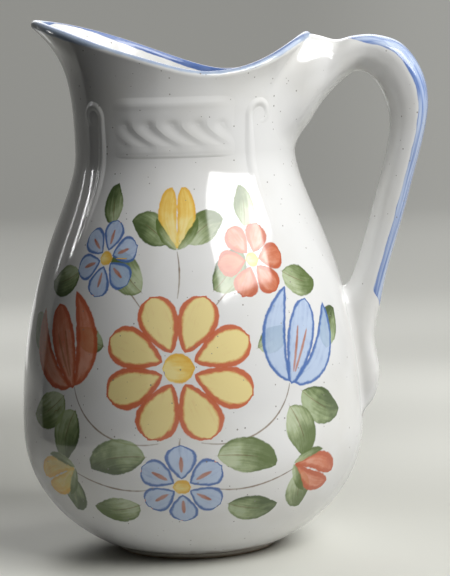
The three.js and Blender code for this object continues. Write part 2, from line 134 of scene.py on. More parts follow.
# rim: its angle, radius and height from the back round to the lip
def rimCurve():
    lipPlan = [(-b.lipReach, 0), (-b.lipReach, b.lipRound),
               (-b.lipTaper, b.mouthHalfWidth), (0, b.mouthHalfWidth)]
    backPlan = [(0, b.mouthHalfWidth), (b.backRound * b.mouthBack, b.mouthHalfWidth),
                (b.mouthBack, b.backRound * b.mouthHalfWidth), (b.mouthBack, 0)]
    lipX, saddleX, backX = -b.lipReach, b.saddleX, b.mouthBack
    lipRise = [(lipX, lipHeight), (lerp(lipX, saddleX, b.lipHold), lipHeight - b.lipDroop * b.lipRise),
               (lerp(lipX, saddleX, b.saddleFrom), saddleHeight), (saddleX, saddleHeight)]
    backRise = [(saddleX, saddleHeight), (lerp(saddleX, backX, b.saddleTo), saddleHeight),
                (lerp(saddleX, backX, b.backBend), saddleHeight + b.backLift * b.backRise),
                (backX, backHeight)]
    plan = np.vstack([bezier(lipPlan, fine), bezier(backPlan, fine[1:])])[::-1]
    rise = np.vstack([bezier(lipRise, fine), bezier(backRise, fine[1:])])
    height = np.interp(plan[:, 0], rise[:, 0], rise[:, 1])
    return np.arctan2(plan[:, 1], plan[:, 0]), np.hypot(plan[:, 0], plan[:, 1]), height


rimAngles, rimRadii, rimHeights = rimCurve()


# radius and height of the rim, which sags a little on the near side of the lip
def rimAt(angle):
    turned = np.abs(np.arctan2(np.sin(angle), np.cos(angle)))
    radius, height = np.interp(turned, rimAngles, rimRadii), np.interp(turned, rimAngles, rimHeights)
    fromLowest = (radius * np.cos(angle) + b.lipReach - b.lipSagBehind) / b.lipSagRun
    nearness = ease(-radius * np.sin(angle), 0, b.lipSagSpread)
    return radius, height - b.lipSag * nearness * np.exp(-fromLowest ** 2)


# share of the neck's reach and rise at a share of its curve
def neckReach(t):
    return 3 * (1 - t) * t * t * b.neckOut + t ** 3


def neckRise(t):
    return 3 * (1 - t) ** 2 * t * b.neckUpright + 3 * (1 - t) * t * t * b.neckUp + t ** 3


def wallRadius(angle, z):
    rimRadius, rimHeight = rimAt(angle)
    rise = np.clip((z - b.neckHeight) / (rimHeight - b.neckHeight), 0, 1)
    reach = neckReach(np.interp(rise, neckRise(fine), fine))
    neck = b.neckRadius + (rimRadius - b.neckRadius) * reach
    return np.where(z < b.neckHeight, np.interp(z, belowNeck[:, 1], belowNeck[:, 0]), neck)


def atAngle(angle, radius, z):
    return np.stack(np.broadcast_arrays(radius * np.cos(angle), radius * np.sin(angle), z), axis=-1)


def wallPoint(angle, z):
    return atAngle(angle, wallRadius(angle, z), z)


# direction out of the wall, from small steps round it and up it
def wallNormal(angle, z, step=0.2):
    turn = step / b.neckRadius
    around = wallPoint(angle + turn, z) - wallPoint(angle - turn, z)
    upward = wallPoint(angle, z + step) - wallPoint(angle, z - step)
    return unit(np.cross(around, upward))


def onWall(angle, z, lift):
    return wallPoint(angle, z) + wallNormal(angle, z) * np.asarray(lift, float)[..., None]


# meshes and pieces
def smoothMesh(mesh, bm):
    bm.to_mesh(mesh)
    bm.free()
    for face in mesh.polygons:
        face.use_smooth = True
    return mesh


def newMesh(name, bm):
    return smoothMesh(bpy.data.meshes.new(name), bm)


def newObject(name, data):
    made = bpy.data.objects.new(name, data)
    bpy.context.scene.collection.objects.link(made)
    return made


def newPiece(name, mesh, material, node):
    piece = newObject(name, mesh)
    mesh.materials.append(material)
    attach(piece, "root")
    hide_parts(node)


def spunMesh(bm, profile, segments):
    ringTag = bm.verts.layers.int.new("ring")
    row = []
    for k, (radius, z) in enumerate(profile):
        vert = bm.verts.new((radius * mm, 0, z * mm))
        vert[ringTag] = k
        row.append(vert)
    edges = [bm.edges.new(pair) for pair in zip(row, row[1:])]
    bmesh.ops.spin(bm, geom=row + edges, axis=(0, 0, 1), cent=(0, 0, 0), angle=2 * math.pi,
                   steps=segments, use_merge=True)
    bmesh.ops.remove_doubles(bm, verts=[v for v in bm.verts if v.co.xy.length < 1e-6], dist=1e-6)
    bmesh.ops.recalc_face_normals(bm, faces=bm.faces)


def vertexArray(mesh, attribute="position", width=3):
    values = np.empty(len(mesh.vertices) * width)
    field = "vector" if width == 3 else "value"
    mesh.attributes[attribute].data.foreach_get(field, values)
    return values.reshape(-1, width) if width > 1 else values


# a flat grid, with the share of each point along it and across it
def newSheet(name, columns, rows):
    bm = bmesh.new()
    bmesh.ops.create_grid(bm, x_segments=columns, y_segments=rows, size=0.5)
    mesh = newMesh(name, bm)
    places = vertexArray(mesh) + 0.5
    return mesh, places[:, 0], places[:, 1]


def setPositions(mesh, places):
    mesh.vertices.foreach_set("co", (places * mm).astype(np.float32).ravel())
    mesh.update()


def addAttribute(mesh, name, values, kind="FLOAT"):
    layer = mesh.attributes.new(name, kind, "POINT")
    field = {"FLOAT": "value", "FLOAT_COLOR": "color"}[kind]
    layer.data.foreach_set(field, np.asarray(values, np.float32).ravel())


# body: outer wall, rolled rim, inner wall and floor as rows of rings
def bodyRings():
    segments = b.segments
    angles = 2 * math.pi * np.arange(segments) / segments
    plainRun = np.interp(b.plainFrom, belowNeck[:, 1], belowNeckRun)
    runs = np.concatenate([
        np.linspace(0, plainRun, int(plainRun / b.ringStep)),
        np.arange(plainRun + b.plainStep, belowNeckRun[-1], b.plainStep),
    ])
    radii = np.interp(runs, belowNeckRun, belowNeck[:, 0])
    heights = np.interp(runs, belowNeckRun, belowNeck[:, 1])
    roll = (heights - b.baseHeight - b.glazeRollHeight) / b.glazeRollWidth
    radii = radii + b.glazeRoll * np.exp(-roll ** 2)
    below = atAngle(angles[None, :], radii[:, None], heights[:, None])
    rimRadius, rimHeight = rimAt(angles)
    t = np.concatenate([np.linspace(0, b.neckEven, b.neckRings), b.neckLast])[:, None]
    neck = atAngle(angles[None, :], b.neckRadius + (rimRadius - b.neckRadius) * neckReach(t),
                   b.neckHeight + (rimHeight - b.neckHeight) * neckRise(t))
    outer = np.concatenate([below, neck])
    around = np.roll(outer, -1, axis=1) - np.roll(outer, 1, axis=1)
    upward = unit(np.gradient(outer, axis=0))
    normal = unit(np.cross(around, upward))
    fromRim = np.linalg.norm(outer - outer[-1], axis=2)
    thickness = lerp(b.rimThickness, b.wall, ease(fromRim, 0, b.rimBlend))
    inner = (outer - normal * thickness[..., None])[::-1]
    middle = (outer[-1] + inner[0]) / 2
    turns = np.pi * np.arange(1, b.rimSteps) / b.rimSteps
    rim = np.stack([middle + (outer[-1] - middle) * math.cos(turn)
                    + upward[-1] * b.rimThickness / 2 * math.sin(turn) for turn in turns])
    inner = inner[[k for k in range(len(inner)) if k < b.innerStride or k % b.innerStride == 0]]
    floor = b.floorHeight
    inner = inner[inner[:, 0, 2] > floor + b.innerEnd]
    cove = [inner[-1] * (share, share, 0) + (0, 0, floor + rise) for share, rise in b.cove]
    flats = [inner[-1] * (share, share, 0) + (0, 0, floor) for share in b.floorShares]
    base = [outer[0] * (share, share, 0) + (0, 0, b.baseHeight) for share in b.baseShares]
    rings = np.concatenate([base, outer, rim, inner, cove, flats])
    return rings, len(base), len(base) + len(outer)


rings, outerFrom, rimFrom = bodyRings()
bm = bmesh.new()
spunMesh(bm, [(np.hypot(ring[0, 0], ring[0, 1]), ring[0, 2]) for ring in rings], b.segments)
bodyMesh = newMesh("body", bm)
spun = vertexArray(bodyMesh)
ringOf = vertexArray(bodyMesh, "ring", 1).astype(int)
spunAngle = np.arctan2(spun[:, 1], spun[:, 0])
sectorOf = np.round(spunAngle / (2 * math.pi) * b.segments).astype(int) % b.segments
setPositions(bodyMesh, rings[ringOf, sectorOf])
# run over the rim in millimetres, from outside to inside, nought at its top
rimStep = np.linalg.norm(np.diff(rings, axis=0), axis=2)
rimRun = np.vstack([np.zeros(b.segments), np.cumsum(rimStep, axis=0)])
rimRun = rimRun - rimRun[rimFrom + b.rimSteps // 2 - 1]
addAttribute(bodyMesh, "rimRun", rimRun[ringOf, sectorOf])
print("stage 2: body", len(bodyMesh.vertices), "points,", len(bodyMesh.polygons), "faces")

# handle: stations along it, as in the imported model
handleShape = {
    "crownRise": 0.9, "crownInset": 22.6, "crownThickness": 15.4, "thumbDip": 1.65, "rootSwell": 0.4,
    "rootDepth": 43.5, "reach": 106.9, "bowDrop": 29.8, "bowThickness": 17.0, "bowInsideDrop": 10.2,
    "strapThickness": 14.0, "strapSlant": 22.0, "strapBulge": 1.3, "landingHeight": 118.0,
    "landingStep": 4.8, "landingDrop": 12.0, "landingSwell": 5.5, "tailHeight": 76.0, "tailEnd": 57.0,
    "tailProud": 8.7, "rootWidth": 30.0, "bowWidth": 20.0, "strapWidth": 15.0, "tailEndWidth": 9.0,
    "squareness": 0.85, "steps": 400, "sides": 84,
    "stepShare": (0, 0.03, 0.22, 0.4, 1), "stepPlace": (0, 0.5, 1.0, 2.3, 14),
    "rootBlend": 15.0, "rootUnder": 5.0, "skirt": 3.0, "rimFollow": 26.0, "rootUntil": 6, "rootSpread": 0.6,
    "landingBlend": 3.5, "tailBlend": 2.2, "blendPlaces": (10, 11.5),
    "rootBury": 15.0, "rootLift": 5.5, "egg": 0.3, "eggFrom": 2, "eggTo": 5,
    "tuck": 1.6, "tuckRun": 8.0, "tuckRate": 0.35, "closeOver": 6.0, "closed": 0.97,
    "dipRunOut": 0.15, "bowTurns": (0, 30, 60, 90), "strapMiddle": 0.5, "strapNarrowing": 0.8,
    "tailMiddle": 0.62, "tailFall": 0.6, "tailThin": 0.62, "tailSink": 0.2, "seamGap": 1e-7,
    # run of the upper line, run and rise of the lower line, and narrowing, from the root to the crown
    "crownShares": ((0.12, -0.16, 0.17, 0), (0.4, 0.2, 0.53, 0.5), (0.66, 0.66, 0.86, 0.8)),
}


def handleStations():
    h = named(handleShape)
    wall = b.wall

    def seat(z):
        return float(wallRadius(0.0, z))

    rootX, rootLow = seat(backHeight), backHeight - h.rootDepth
    crown = np.array([h.reach - h.crownInset, backHeight + h.crownRise])
    crownInside = crown - (h.crownThickness / 2, h.crownThickness)
    bow = np.array([h.reach, crown[1] - h.bowDrop])
    bowInside = bow - (h.bowThickness, h.bowInsideDrop)
    bury = h.rootBury
    stations = [((rootX - bury, backHeight + h.rootLift), (seat(rootLow) - bury, rootLow - bury),
                 h.rootWidth)]
    lifts = h.rootSwell, -h.thumbDip, -h.dipRunOut * h.thumbDip
    for lift, (run, under, rise, narrowing) in zip(lifts, h.crownShares):
        stations.append((
            (lerp(rootX, crown[0], run), crown[1] + lift),
            (lerp(rootX, crownInside[0], under), lerp(rootLow, crownInside[1], rise)),
            lerp(h.rootWidth, h.bowWidth, narrowing),
        ))
    for turn in np.radians(h.bowTurns):
        over, down = math.sin(turn), math.cos(turn)
        stations.append((
            (lerp(crown[0], bow[0], over), lerp(bow[1], crown[1], down)),
            (lerp(crownInside[0], bowInside[0], over), lerp(bowInside[1], crownInside[1], down)),
            h.bowWidth,
        ))
    landing = h.landingHeight
    heel = np.array([seat(landing) + h.landingStep, landing])
    toe = heel + (h.strapThickness / math.cos(math.radians(h.strapSlant)), 0)
    bulge = np.array([h.strapBulge, 0])
    stations.append((lerp(bow, toe, h.strapMiddle) + bulge, lerp(bowInside, heel, h.strapMiddle) + bulge,
                     lerp(h.bowWidth, h.strapWidth, h.strapNarrowing)))
    stations.append((toe, heel, h.strapWidth))
    proud = h.tailProud
    for z, stand, taper in (
        (landing - h.landingDrop, proud + h.landingSwell, 0),
        (lerp(landing, h.tailHeight, h.tailMiddle), proud, 0), (h.tailHeight, proud, 0),
        (lerp(h.tailHeight, h.tailEnd, h.tailFall), h.tailThin * proud, h.tailFall),
        (h.tailEnd, -h.tailSink * wall, 1),
    ):
        stations.append(((seat(z) + stand, z), (seat(z) - wall, z),
                         lerp(h.strapWidth, h.tailEndWidth, taper)))
    return stations


# the rolled rim at an angle: middle of its roll, and the directions out of the wall and up it
def rimRoll(angle):
    rimRadius, rimHeight = rimAt(angle)
    outward = wallNormal(angle, rimHeight - b.rimProbe)
    around = np.stack([-np.sin(angle), np.cos(angle), 0 * angle], axis=1)
    middle = atAngle(angle, rimRadius, rimHeight) - outward * b.rimThickness / 2
    return middle, outward, np.cross(outward, around)


# the wall's nearest face to some places, with the rolled rim above it: direction, and how far off they are
def offWall(places):
    angle = np.arctan2(places[:, 1], places[:, 0])
    z = np.minimum(places[:, 2], rimAt(angle)[1])
    normal = wallNormal(angle, z)
    off = dot(places - wallPoint(angle, z), normal)
    middle, outward, upward = rimRoll(angle)
    fromRoll = places - middle
    above = dot(fromRoll, upward) > 0
    normal = np.where(above[:, None], unit(fromRoll), normal)
    return normal, np.where(above, np.linalg.norm(fromRoll, axis=1) - b.rimThickness / 2, off)


# radius of the outer face with the roll of the rim on top
def seatRadius(angle, z):
    middle = rimRoll(angle)[0]
    rimHeight = rimAt(angle)[1]
    chord = np.sqrt(np.clip((b.rimThickness / 2) ** 2 - (z - middle[:, 2]) ** 2, 0, None))
    return np.where(z > rimHeight, np.hypot(middle[:, 0], middle[:, 1]) + chord,
                    wallRadius(angle, np.minimum(z, rimHeight)))


# how far a round fillet spreads where its skin is still some way off the wall
def filletSpread(off, radius):
    return radius - np.sqrt(radius ** 2 - (radius - np.clip(off, 0, radius)) ** 2)


# draws the root into the neck: its sides spread along the wall under the rim, its end closes in the clay
def spreadRoot(places, turn):
    h = named(handleShape)
    x, y, z = places.T
    reach = h.rootBlend
    backRim = rimAt(0.0)[1]
    seat = seatRadius(0 * z, z)
    off = x - seat
    sunk = np.clip(-off, 0, None)
    closing = 1 - h.closed * np.clip((sunk - h.skirt) / h.closeOver, 0, 1)
    widening = filletSpread(off, reach) + h.skirt * (1 - np.exp(-sunk))
    sideways = (y + np.sign(y) * np.abs(np.sin(turn)) ** h.rootSpread * widening) * closing
    z = z - np.clip(-np.cos(turn), 0, 1) ** 2 * filletSpread(off, h.rootUnder)
    angle = sideways / seat
    wrappedZ = z - (backRim - rimAt(angle)[1]) * ease(z, backRim - h.rimFollow, backRim)
    wrapped = atAngle(angle, seatRadius(angle, wrappedZ) + off, wrappedZ)
    wrap = 1 - ease(off, 0, reach)
    spread = lerp(np.stack([x, sideways, z], axis=1), wrapped, wrap[:, None])
    normal, offNow = offWall(spread)
    wanted = np.where(off > 0, off, -np.minimum(sunk ** 2 / h.tuckRun, h.tuck))
    return spread + normal * ((wanted - offNow) * wrap)[:, None]


# bends the foot of the handle into the body's face with a soft fillet, and closes its end inside the clay
def blendIntoBody(places, axis, radius):
    h = named(handleShape)
    normal, off = offWall(places)
    away = places - axis
    away = unit(away - normal * dot(away, normal)[:, None])
    travel = np.clip(radius - off, 0, None)
    bend = np.clip(travel / radius, 0, math.pi / 2)
    past = np.clip(travel - radius * math.pi / 2, 0, None)
    newOff = radius * (1 - np.sin(bend)) - np.minimum(past * h.tuckRate, h.tuck)
    moved = places + away * (radius * (1 - np.cos(bend)))[:, None]
    moved = lerp(moved, axis, h.closed * np.clip(past / h.closeOver, 0, 1)[:, None])
    normal, movedOff = offWall(moved)
    moved = moved + normal * (newOff - movedOff)[:, None]
    return np.where((off < radius)[:, None], moved, places)


def handleMesh():
    h = named(handleShape)
    stations = handleStations()
    mesh, along, around = newSheet("handle", h.steps, h.sides)
    turn = 2 * math.pi * (around - 0.5)
    place = np.interp(along, h.stepShare, h.stepPlace)
    outer = splineAt([s[0] for s in stations], place)
    inner = splineAt([s[1] for s in stations], place)
    half = splineAt([(i, s[2]) for i, s in enumerate(stations)], place)[:, 1] / 2
    middle, reach = (outer + inner) / 2, (outer - inner) / 2

    def squarish(v):
        return np.sign(v) * np.abs(v) ** h.squareness

    across = squarish(np.cos(turn))[:, None] * reach
    broad = 1 + h.egg * np.cos(turn) * ease(place, h.eggFrom, h.eggTo)
    places = np.stack([middle[:, 0] + across[:, 0], -half * squarish(np.sin(turn)) * broad,
                       middle[:, 1] + across[:, 1]], axis=1)
    axis = np.stack([middle[:, 0], 0 * half, middle[:, 1]], axis=1)
    lower = np.interp(place, h.blendPlaces, [h.landingBlend, h.tailBlend])
    atRoot = (place < h.rootUntil)[:, None]
    places = np.where(atRoot, spreadRoot(places, turn), blendIntoBody(places, axis, lower))
    setPositions(mesh, places)
    addAttribute(mesh, "spineTurn", np.abs(turn))
    addAttribute(mesh, "spineRun", place)
    middle, outward, upward = rimRoll(np.arctan2(places[:, 1], places[:, 0]))
    addAttribute(mesh, "rimRun", -np.linalg.norm(places - middle - upward * b.rimThickness / 2, axis=1))
    bm = bmesh.new()
    bm.from_mesh(mesh)
    bmesh.ops.remove_doubles(bm, verts=bm.verts, dist=h.seamGap)
    bmesh.ops.holes_fill(bm, edges=[e for e in bm.edges if e.is_boundary], sides=0)
    bmesh.ops.recalc_face_normals(bm, faces=bm.faces)
    bm.to_mesh(mesh)
    bm.free()
    return mesh


handlePieceMesh = handleMesh()
print("stage 3: handle", len(handlePieceMesh.polygons), "faces")

# foot: the unglazed clay on which the pitcher stands, drawn in under the belly
footShape = {
    "contact": 34.2, "radius": 36.6, "height": 2.4, "roundness": 1.6, "edgeRings": 9, "segments": 256,
    "underShares": (0.25, 0.5, 0.75, 0.9), "topShares": (0.8, 0.4),
}


def footMesh():
    f = named(footShape)
    edge = [(lerp(f.contact, f.radius, s), f.height * s ** f.roundness)
            for s in np.linspace(0, 1, f.edgeRings)]
    rows = [(0, 0)] + [(share * f.contact, 0) for share in f.underShares]
    tops = [(share * f.radius, f.height) for share in f.topShares] + [(0, f.height)]
    bm = bmesh.new()
    spunMesh(bm, rows + edge + tops, f.segments)
    return newMesh("foot", bm)


reliefBack = 1.0  # thickness of the clay behind a relief, inside the wall


# relief pieces: a flat grid laid on the neck by distance along it and height, then given a back
def reliefMesh(name, columns, rows, layOut, side):
    mesh, u, v = newSheet(name, columns, rows)
    along, z, lift = layOut(u, v)
    turn = along / b.neckRadius
    setPositions(mesh, onWall(nearSide + turn if side > 0 else farSide - turn, z, lift))
    bm = bmesh.new()
    bm.from_mesh(mesh)
    outwards = sum(((f.normal.xy @ f.calc_center_median().xy) for f in bm.faces), 0.0)
    if outwards < 0:
        bmesh.ops.reverse_faces(bm, faces=bm.faces)
    bmesh.ops.solidify(bm, geom=bm.faces[:], thickness=reliefBack * mm)
    return smoothMesh(mesh, bm)


friezeShape = {
    "low": 175.6, "high": 197.6, "halfAngle": 35.0, "waves": 5.5, "fillet": 2.6, "filletRise": 0.6,
    "panel": 0.46, "headDrop": 7.0, "fall": 8.5, "sweep": 10.6, "curl": 1.5,
    "headWidth": 3.4, "tailWidth": 1.5, "topSoft": 0.5, "close": 2.0, "steepWidth": 0.75, "gentlePitch": 0.65,
    "headDepth": 0.5, "tailDepth": 0.16, "grooveDepth": 0.12, "grooveWidth": 0.9,
    "above": 3.2, "below": 1.8, "ends": 12.0, "sink": 0.06, "columns": 260, "rows": 130,
}
friezeHalf = math.radians(friezeShape["halfAngle"]) * b.neckRadius


# a raised band with a fillet along its top, comma-shaped hollows and a groove below them
def layFrieze(u, v):
    f = named(friezeShape)
    along, z = lerp(-friezeHalf, friezeHalf, u), lerp(f.low - f.below, f.high + f.above, v)
    head = f.high - f.fillet - f.headDrop
    fall = np.clip((head - z) / f.fall, 0, 1)
    pitch = 2 * friezeHalf / f.waves
    sideways = along - f.sweep * fall ** f.curl
    fromHollow = sideways - pitch * np.floor(sideways / pitch + f.gentlePitch)
    slant = f.sweep * f.curl * fall ** (f.curl - 1) / f.fall
    width = lerp(f.headWidth, f.tailWidth, fall) * np.where(fromHollow > 0, f.steepWidth, 1)
    across = fromHollow / np.hypot(1, slant) / width
    past = np.maximum(np.maximum(z - head, head - f.fall - z), 0) / f.close
    hollow = lerp(f.headDepth, f.tailDepth, fall) * np.exp(-across ** 2 - past ** 2)
    fromFillet = (z - f.high + f.fillet / 2) / f.fillet * 2
    fillet = (f.filletRise - f.panel) * np.exp(-fromFillet ** 2)
    groove = f.grooveDepth * np.exp(-((z - f.low) / f.grooveWidth) ** 2)
    band = ease(z, f.low - f.below, f.low)
    band = band * (1 - ease(z, f.high - f.topSoft, f.high + f.above))
    band = band * ease(friezeHalf - np.abs(along), 0, f.ends)
    return along, z, (f.panel + fillet - hollow - groove + f.sink) * band - f.sink


ribShape = {
    "gap": 2.1, "spread": 5.5, "length": 57.5, "width": 6.8, "line": 2.5, "relief": 0.5, "sink": 0.06,
    "voluteHeight": 191.5, "voluteRadius": 6.0, "voluteEye": 2.6, "voluteTurns": 0.9, "voluteWidth": 5.0,
    "eyeWidth": 3.0, "eyeFade": 0.3, "full": 0.3, "fade": 0.35, "end": 0.15, "thin": 0.6, "close": 0.12,
    "voluteShare": 0.42, "probe": 0.002, "columns": 220, "rows": 22,
}


def ribLine(u):
    r = named(ribShape)
    line = friezeHalf + r.gap + r.line
    coil = np.clip(u / r.voluteShare, 0, 1)
    down = np.clip((u - r.voluteShare) / (1 - r.voluteShare), 0, 1)
    radius = lerp(r.voluteEye, r.voluteRadius, coil)
    turn = math.pi - 2 * math.pi * r.voluteTurns * (1 - coil)
    spread = math.radians(r.spread) * b.neckRadius
    inVolute = u < r.voluteShare
    along = np.where(inVolute, line + r.voluteRadius + radius * np.cos(turn), line + spread * down ** 2)
    z = np.where(inVolute, r.voluteHeight + radius * np.sin(turn), r.voluteHeight - r.length * down)
    return along, z, down


def layRib(side):
    def layOut(u, v):
        r = named(ribShape)
        along, z, down = ribLine(u)
        before, after = (ribLine(np.clip(u + step, 0, 1)) for step in (-r.probe, r.probe))
        heading = unit(np.stack([after[0] - before[0], after[1] - before[1]], axis=1))
        fade = lerp(1, r.end, ease(down, r.fade, 1))
        width = lerp(r.voluteWidth, r.width, ease(down, 0, r.full)) * lerp(r.thin, 1, fade)
        width = lerp(r.eyeWidth, width, ease(u, 0, r.eyeFade))
        across = (v - 0.5) * width
        crest = np.cos(np.pi * (v - 0.5)) ** 2
        ends = ease(u, 0, r.eyeFade) * ease(1 - u, 0, r.close)
        lift = (fade * r.relief + r.sink) * crest * ends - r.sink
        return side * (along - heading[:, 1] * across), z + heading[:, 0] * across, lift
    return layOut


footPieceMesh = footMesh()
reliefMeshes = {}
for sideName, side in (("near", 1), ("far", -1)):
    reliefMeshes["neck_frieze_" + sideName] = reliefMesh(
        "neck_frieze_" + sideName, friezeShape["columns"], friezeShape["rows"], layFrieze, side)
    for ribName, toHandle in (("front", -1), ("rear", 1)):
        name = f"{ribName}_scroll_rib_{sideName}"
        reliefMeshes[name] = reliefMesh(name, ribShape["columns"], ribShape["rows"], layRib(toHandle), side)
print("stage 4: foot and", len(reliefMeshes), "reliefs")


# a socket that takes Python arithmetic: each operation adds its Math node
class Wire:
    def __init__(self, tree, socket=None):
        self.tree = tree
        self.socket = socket

    def node(self, kind, settings={}, sockets={}, output=0):
        made = self.tree.nodes.new(kind)
        for name, value in settings.items():
            if name == "stops":
                setStops(made.color_ramp, value)
            else:
                setattr(made, name, value)
        for name, value in sockets.items():
            if isinstance(value, Wire):
                self.tree.links.new(value.socket, made.inputs[name])
            else:
                made.inputs[name].default_value = value
        return Wire(self.tree, made.outputs[output] if made.outputs else None)

    def other(self, output):
        return Wire(self.tree, self.socket.node.outputs[output])

    def maths(self, operation, *values):
        return self.node("ShaderNodeMath", {"operation": operation}, dict(enumerate(values)))

    def __add__(self, value):
        return self.maths("ADD", self, value)

    def __radd__(self, value):
        return self.maths("ADD", value, self)

    def __sub__(self, value):
        return self.maths("SUBTRACT", self, value)

    def __rsub__(self, value):
        return self.maths("SUBTRACT", value, self)

    def __mul__(self, value):
        return self.maths("MULTIPLY", self, value)

    def __rmul__(self, value):
        return self.maths("MULTIPLY", value, self)

    def __truediv__(self, value):
        return self.maths("DIVIDE", self, value)

    def __abs__(self):
        return self.maths("ABSOLUTE", self)

    def least(self, value):
        return self.maths("MINIMUM", self, value)

    def most(self, value):
        return self.maths("MAXIMUM", self, value)

    # eased from 0 at low to 1 at high
    def between(self, low, high):
        return self.node("ShaderNodeMapRange", {"interpolation_type": "SMOOTHSTEP"},
                         {"Value": self, "From Min": low, "From Max": high})

    # from the first colour at 0 to the second at 1
    def blend(self, under, over):
        return self.node("ShaderNodeMix", {"data_type": "RGBA"}, {0: self, 6: under, 7: over}, output=2)

    def noise(self, scale, detail=2.0):
        return self.node("ShaderNodeTexNoise", {}, {"Vector": self, "Scale": scale, "Detail": detail})

    # noise about nought, drawn out by giving each direction its own scale
    def streaks(self, x, y, z):
        return self.node("ShaderNodeCombineXYZ", {}, {"X": x, "Y": y, "Z": z}).noise(1.0) - 0.5

    def axis(self, name):
        return self.node("ShaderNodeSeparateXYZ", {}, {"Vector": self}, output=name)

    def channel(self, name):
        return self.node("ShaderNodeSeparateColor", {}, {"Color": self}, output=name)

    def distance(self, place):
        return self.node("ShaderNodeVectorMath", {"operation": "DISTANCE"}, {0: self, 1: place},
                         output="Value")

    def attribute(self, name, output="Fac"):
        return self.node("ShaderNodeAttribute", {"attribute_name": name}, output=output)

    # 1 for what the camera sees, directly or in the glaze, and 0 for light on its way round the room
    def seen(self):
        ray = self.node("ShaderNodeLightPath", output="Is Camera Ray")
        return ray.most(ray.other("Is Glossy Ray")).most(ray.other("Is Transmission Ray"))

    def surface(self, sockets):
        shader = self.node("ShaderNodeBsdfPrincipled", {}, sockets)
        self.node("ShaderNodeOutputMaterial", {}, {"Surface": shader})


def setStops(ramp, stops):
    ramp.interpolation = "CONSTANT"
    while len(ramp.elements) > 1:
        ramp.elements.remove(ramp.elements[-1])
    for i, (position, colour) in enumerate(stops):
        element = ramp.elements[0] if i == 0 else ramp.elements.new(position)
        element.position = position
        element.color = colour


def linear(red, green, blue):
    parts = [c / 255 for c in (red, green, blue)]
    return tuple(c / 12.92 if c <= 0.04045 else ((c + 0.055) / 1.055) ** 2.4 for c in parts) + (1,)


def scaleOf(spacing):
    return 1 / (spacing * mm)


# a material with its tree cleared, and the place on the object as the first wire
def newMaterial(name):
    material = bpy.data.materials.new(name)
    material.use_nodes = True
    tree = material.node_tree
    tree.nodes.clear()
    return material, Wire(tree).node("ShaderNodeTexCoord", output="Object")


# glaze: glossy warm white with pinholes, faint ripples and thin patches, drier at the foot
glazeLook = {
    "white": linear(233, 233, 231), "thin": linear(225, 224, 219), "thinSpacing": 38, "thinFrom": 0.42,
    "thinTo": 0.75, "roughness": 0.09, "ior": 1.62, "bump": 0.35,
    "speck": linear(124, 116, 108), "speckCover": 0.85, "pinholeSpacing": 3.2, "pinholeSize": 0.8,
    "pinholeCore": 0.4, "pinholeEdge": 0.035, "poreFrom": 0.25, "poreTo": 0.35, "pitDepth": 0.12,
    "pitRoughness": 0.25, "dry": linear(148, 130, 110), "dryCover": 0.7, "dryFrom": 6.5, "dryTo": 2.4,
    "dryWander": 4, "drySpacing": 6,
    "rippleSpacing": 7.0, "rippleDepth": 0.05, "peelSpacing": 1.6, "peelDepth": 0.006,
}


def glazeMaterial(name, paint=None):
    g = named(glazeLook)
    material, spot = newMaterial(name)
    thin = spot.noise(scaleOf(g.thinSpacing), 3).between(g.thinFrom, g.thinTo)
    colour = thin.blend(g.white, g.thin)
    pores = spot.node("ShaderNodeTexVoronoi", {"feature": "F1"},
                      {"Vector": spot, "Scale": scaleOf(g.pinholeSpacing), "Randomness": 1.0})
    kind = pores.other("Color").channel("Red")
    size = kind.between(g.poreFrom, 1.0) * (g.pinholeSize / g.pinholeSpacing)
    pit = 1 - (pores - size * g.pinholeCore).between(0.0, g.pinholeEdge)
    pit = pit * kind.between(g.poreFrom, g.poreTo)
    if paint:
        colour = paint(spot, colour)
    colour = (pit * g.speckCover).blend(colour, g.speck)
    height = spot.axis("Z") / mm + (spot.noise(scaleOf(g.drySpacing)) - 0.5) * g.dryWander
    dry = 1 - height.between(g.dryTo, g.dryFrom)
    colour = (dry * g.dryCover).blend(colour, g.dry)
    swell = spot.noise(scaleOf(g.rippleSpacing), 1) * g.rippleDepth
    swell = swell + spot.noise(scaleOf(g.peelSpacing), 1) * g.peelDepth
    bump = spot.node("ShaderNodeBump", {}, {
        "Strength": g.bump, "Distance": mm, "Height": swell - pit * g.pitDepth})
    spot.surface({"Base Color": colour, "Roughness": g.roughness + pit * g.pitRoughness,
                  "IOR": g.ior, "Normal": bump})
    return material


# bare clay of the foot, with a thin run of glaze on its upper edge
clayLook = {
    "body": linear(184, 166, 142), "dark": linear(146, 124, 100), "darkFrom": 0.35, "darkTo": 0.7,
    "roughness": 0.85, "bump": 0.4, "cloudScale": 220.0, "cloudDepth": 0.1, "grainScale": 1800.0,
    "grainDepth": 0.15, "film": linear(200, 194, 182), "filmFrom": 0.7, "filmTo": 1.5, "filmWander": 1.2,
}


def clayMaterial():
    c = named(clayLook)
    material, spot = newMaterial("bareClay")
    cloud, grain = spot.noise(c.cloudScale, 4.0), spot.noise(c.grainScale)
    colour = cloud.between(c.darkFrom, c.darkTo).blend(c.body, c.dark)
    rise = spot.axis("Z") / mm + (cloud - 0.5) * c.filmWander
    colour = rise.between(c.filmFrom, c.filmTo).blend(colour, c.film)
    bump = spot.node("ShaderNodeBump", {}, {
        "Strength": c.bump, "Distance": mm, "Height": grain * c.grainDepth + cloud * c.cloudDepth})
    spot.surface({"Base Color": colour, "Roughness": c.roughness, "Normal": bump})
    return material


